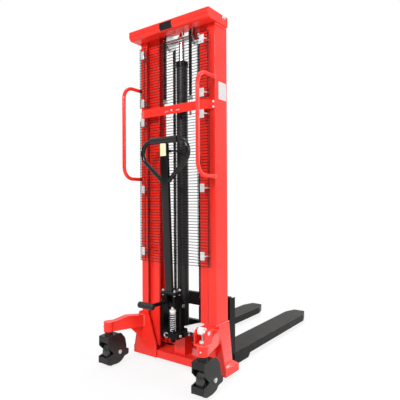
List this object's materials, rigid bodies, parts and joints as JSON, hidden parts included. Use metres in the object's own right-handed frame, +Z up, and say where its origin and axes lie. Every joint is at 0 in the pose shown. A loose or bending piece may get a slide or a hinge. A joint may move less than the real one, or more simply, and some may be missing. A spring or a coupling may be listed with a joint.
{
  "type": "hand pallet stacker",
  "caption": "Red hand pallet stacker with a two-stage chain-lift mast, hand pump and tiller, wire guards, grab handles, braked swivel casters and two black forks.",
  "frame": {"origin": "On the ground under the middle of the whole object.", "axes": "+X is the operator's right, +Y runs forward along the forks, +Z is up."},
  "size_m": [0.804, 1.632, 2.05],
  "materials": {
    "red_paint": "gloss",
    "black_paint": "satin",
    "black_wire": "satin",
    "zinc_steel": "zinc plated",
    "spring_steel": "bright",
    "chain_steel": "oiled",
    "chrome_rod": "polished",
    "roller_steel": "turned",
    "grip_rubber": "matt",
    "wheel_plastic": "matt",
    "wheel_tread": "matt",
    "roller_nylon": "matt",
    "cam_plastic": "satin"
  },
  "bodies": {
    "chassis": {"mast_channel_left": "red_paint", "mast_channel_right": "red_paint", "mast_feet": "red_paint", "base_crossmember": "red_paint", "straddle_legs": "black_paint", "chassis_pins": "zinc_steel", "top_beam": "red_paint", "cross_plate": "red_paint", "chain_anchors": "zinc_steel", "wire_guards": "black_wire", "guard_clips": "zinc_steel", "grab_handles": "red_paint", "outrigger_left": "red_paint", "outrigger_right": "red_paint", "lift_cylinder": "black_paint", "cylinder_gland": "black_paint", "pump_block": "black_paint", "pump_spring": "spring_steel", "chain_anchor_runs": "chain_steel"},
    "inner_mast": {"inner_beam_left": "red_paint", "inner_beam_right": "red_paint", "inner_cross_ties": "red_paint", "piston_rod": "chrome_rod", "pulley_shaft": "zinc_steel", "chain_wraps": "chain_steel"},
    "carriage": {"carriage_frame": "black_paint", "fork_left": "black_paint", "fork_right": "black_paint", "chain_carriage_runs": "chain_steel"},
    "tiller": {"tiller_rocker": "black_paint", "tiller_handle": "black_paint", "tiller_grip": "grip_rubber", "pump_pedal": "black_paint", "pump_pedal_grip": "grip_rubber"},
    "release_lever": {"release_lever": "black_paint"},
    "pump_plunger": {"pump_plunger": "zinc_steel"},
    "brake": {"brake_pedal": "zinc_steel", "brake_shaft": "cam_plastic"},
    "brake_push_rod": {"brake_push_rod": "zinc_steel"},
    "chain_pulley_left": {"chain_pulley_left": "zinc_steel"},
    "mast_roller_left": {"mast_roller_left": "roller_steel"},
    "inner_roller_left": {"inner_roller_left": "roller_steel"},
    "carriage_roller_upper_left": {"carriage_roller_upper_left": "roller_steel"},
    "carriage_roller_lower_left": {"carriage_roller_lower_left": "roller_steel"},
    "load_roller_left": {"load_roller_left": "roller_nylon"},
    "caster_left": {"caster_housing_left": "black_paint", "caster_axle_left": "zinc_steel"},
    "wheel_left": {"wheel_core_left": "wheel_plastic", "wheel_tyre_left": "wheel_tread"},
    "chain_pulley_right": {"chain_pulley_right": "zinc_steel"},
    "mast_roller_right": {"mast_roller_right": "roller_steel"},
    "inner_roller_right": {"inner_roller_right": "roller_steel"},
    "carriage_roller_upper_right": {"carriage_roller_upper_right": "roller_steel"},
    "carriage_roller_lower_right": {"carriage_roller_lower_right": "roller_steel"},
    "load_roller_right": {"load_roller_right": "roller_nylon"},
    "caster_right": {"caster_housing_right": "black_paint", "caster_axle_right": "zinc_steel"},
    "wheel_right": {"wheel_core_right": "wheel_plastic", "wheel_tyre_right": "wheel_tread"}
  },
  "joints": [
    {"name": "mast_lift", "type": "slide", "parent": "chassis", "child": "inner_mast", "axis": [0, 0, 1], "range_m": [0, 1.45], "deforming": ["chain_anchor_runs"]},
    {"name": "carriage_lift", "type": "slide", "parent": "inner_mast", "child": "carriage", "axis": [0, 0, 1], "range_m": [0, 1.45], "deforming": ["chain_carriage_runs"]},
    {"name": "tiller_swing", "type": "hinge", "parent": "chassis", "child": "tiller", "pos_m": [0, -0.548, 0.372], "axis": [1, 0, 0], "range_deg": [0, 60], "stiffness_Nm_per_rad": 12, "springref_deg": -57.3},
    {"name": "plunger_stroke", "type": "slide", "parent": "chassis", "child": "pump_plunger", "axis": [0, 0, -1], "range_m": [0, 0.0406], "deforming": ["pump_spring"]},
    {"name": "release_pull", "type": "hinge", "parent": "tiller", "child": "release_lever", "pos_m": [0.034, -0.65243, 1.28112], "axis": [0, -0.999, -0.0456], "range_deg": [0, 20], "stiffness_Nm_per_rad": 0.3, "springref_deg": -40.11},
    {"name": "brake_press", "type": "hinge", "parent": "chassis", "child": "brake", "pos_m": [0.351, -0.77, 0.329], "axis": [-1, 0, 0], "range_deg": [0, 25]},
    {"name": "brake_rod_push", "type": "slide", "parent": "chassis", "child": "brake_push_rod", "axis": [0, 0, -1], "range_m": [0, 0.0034], "stiffness_N_per_m": 100, "springref_m": -0.012},
    {"name": "chain_pulley_left_spin", "type": "hinge", "parent": "inner_mast", "child": "chain_pulley_left", "pos_m": [-0.098, -0.486, 1.98], "axis": [1, 0, 0], "continuous": true},
    {"name": "mast_roller_left_spin", "type": "hinge", "parent": "chassis", "child": "mast_roller_left", "pos_m": [-0.242, -0.487, 1.95], "axis": [1, 0, 0], "continuous": true},
    {"name": "inner_roller_left_spin", "type": "hinge", "parent": "inner_mast", "child": "inner_roller_left", "pos_m": [-0.243, -0.487, 0.146], "axis": [1, 0, 0], "continuous": true},
    {"name": "carriage_roller_upper_left_spin", "type": "hinge", "parent": "carriage", "child": "carriage_roller_upper_left", "pos_m": [-0.184, -0.487, 0.35], "axis": [1, 0, 0], "continuous": true},
    {"name": "carriage_roller_lower_left_spin", "type": "hinge", "parent": "carriage", "child": "carriage_roller_lower_left", "pos_m": [-0.184, -0.487, 0.17], "axis": [1, 0, 0], "continuous": true},
    {"name": "load_roller_left_spin", "type": "hinge", "parent": "chassis", "child": "load_roller_left", "pos_m": [-0.198, 0.602, 0.035], "axis": [1, 0, 0], "continuous": true},
    {"name": "caster_left_swivel", "type": "hinge", "parent": "chassis", "child": "caster_left", "pos_m": [-0.351, -0.77, 0.23], "axis": [0, 0, 1], "continuous": true},
    {"name": "wheel_left_spin", "type": "hinge", "parent": "caster_left", "child": "wheel_left", "pos_m": [-0.351, -0.723, 0.08], "axis": [1, 0, 0], "continuous": true},
    {"name": "chain_pulley_right_spin", "type": "hinge", "parent": "inner_mast", "child": "chain_pulley_right", "pos_m": [0.098, -0.486, 1.98], "axis": [1, 0, 0], "continuous": true},
    {"name": "mast_roller_right_spin", "type": "hinge", "parent": "chassis", "child": "mast_roller_right", "pos_m": [0.242, -0.487, 1.95], "axis": [1, 0, 0], "continuous": true},
    {"name": "inner_roller_right_spin", "type": "hinge", "parent": "inner_mast", "child": "inner_roller_right", "pos_m": [0.243, -0.487, 0.146], "axis": [1, 0, 0], "continuous": true},
    {"name": "carriage_roller_upper_right_spin", "type": "hinge", "parent": "carriage", "child": "carriage_roller_upper_right", "pos_m": [0.184, -0.487, 0.35], "axis": [1, 0, 0], "continuous": true},
    {"name": "carriage_roller_lower_right_spin", "type": "hinge", "parent": "carriage", "child": "carriage_roller_lower_right", "pos_m": [0.184, -0.487, 0.17], "axis": [1, 0, 0], "continuous": true},
    {"name": "load_roller_right_spin", "type": "hinge", "parent": "chassis", "child": "load_roller_right", "pos_m": [0.198, 0.602, 0.035], "axis": [1, 0, 0], "continuous": true},
    {"name": "caster_right_swivel", "type": "hinge", "parent": "chassis", "child": "caster_right", "pos_m": [0.351, -0.77, 0.23], "axis": [0, 0, 1], "continuous": true},
    {"name": "wheel_right_spin", "type": "hinge", "parent": "caster_right", "child": "wheel_right", "pos_m": [0.351, -0.723, 0.08], "axis": [1, 0, 0], "continuous": true}
  ],
  "couplings": [
    {"joint": "carriage_lift", "follows": "mast_lift", "ratio": 1},
    {"joint": "plunger_stroke", "follows": "tiller_swing", "m_per_rad": 0.0386},
    {"joint": "brake_rod_push", "follows": "brake_press", "m_per_rad": 0.00779},
    {"joint": "chain_pulley_left_spin", "follows": "mast_lift", "rad_per_m": 22.222},
    {"joint": "mast_roller_left_spin", "follows": "mast_lift", "rad_per_m": -37.453},
    {"joint": "inner_roller_left_spin", "follows": "mast_lift", "rad_per_m": 19.724},
    {"joint": "carriage_roller_upper_left_spin", "follows": "mast_lift", "rad_per_m": -37.453},
    {"joint": "carriage_roller_lower_left_spin", "follows": "mast_lift", "rad_per_m": 37.453},
    {"joint": "chain_pulley_right_spin", "follows": "mast_lift", "rad_per_m": 22.222},
    {"joint": "mast_roller_right_spin", "follows": "mast_lift", "rad_per_m": -37.453},
    {"joint": "inner_roller_right_spin", "follows": "mast_lift", "rad_per_m": 19.724},
    {"joint": "carriage_roller_upper_right_spin", "follows": "mast_lift", "rad_per_m": -37.453},
    {"joint": "carriage_roller_lower_right_spin", "follows": "mast_lift", "rad_per_m": 37.453}
  ]
}
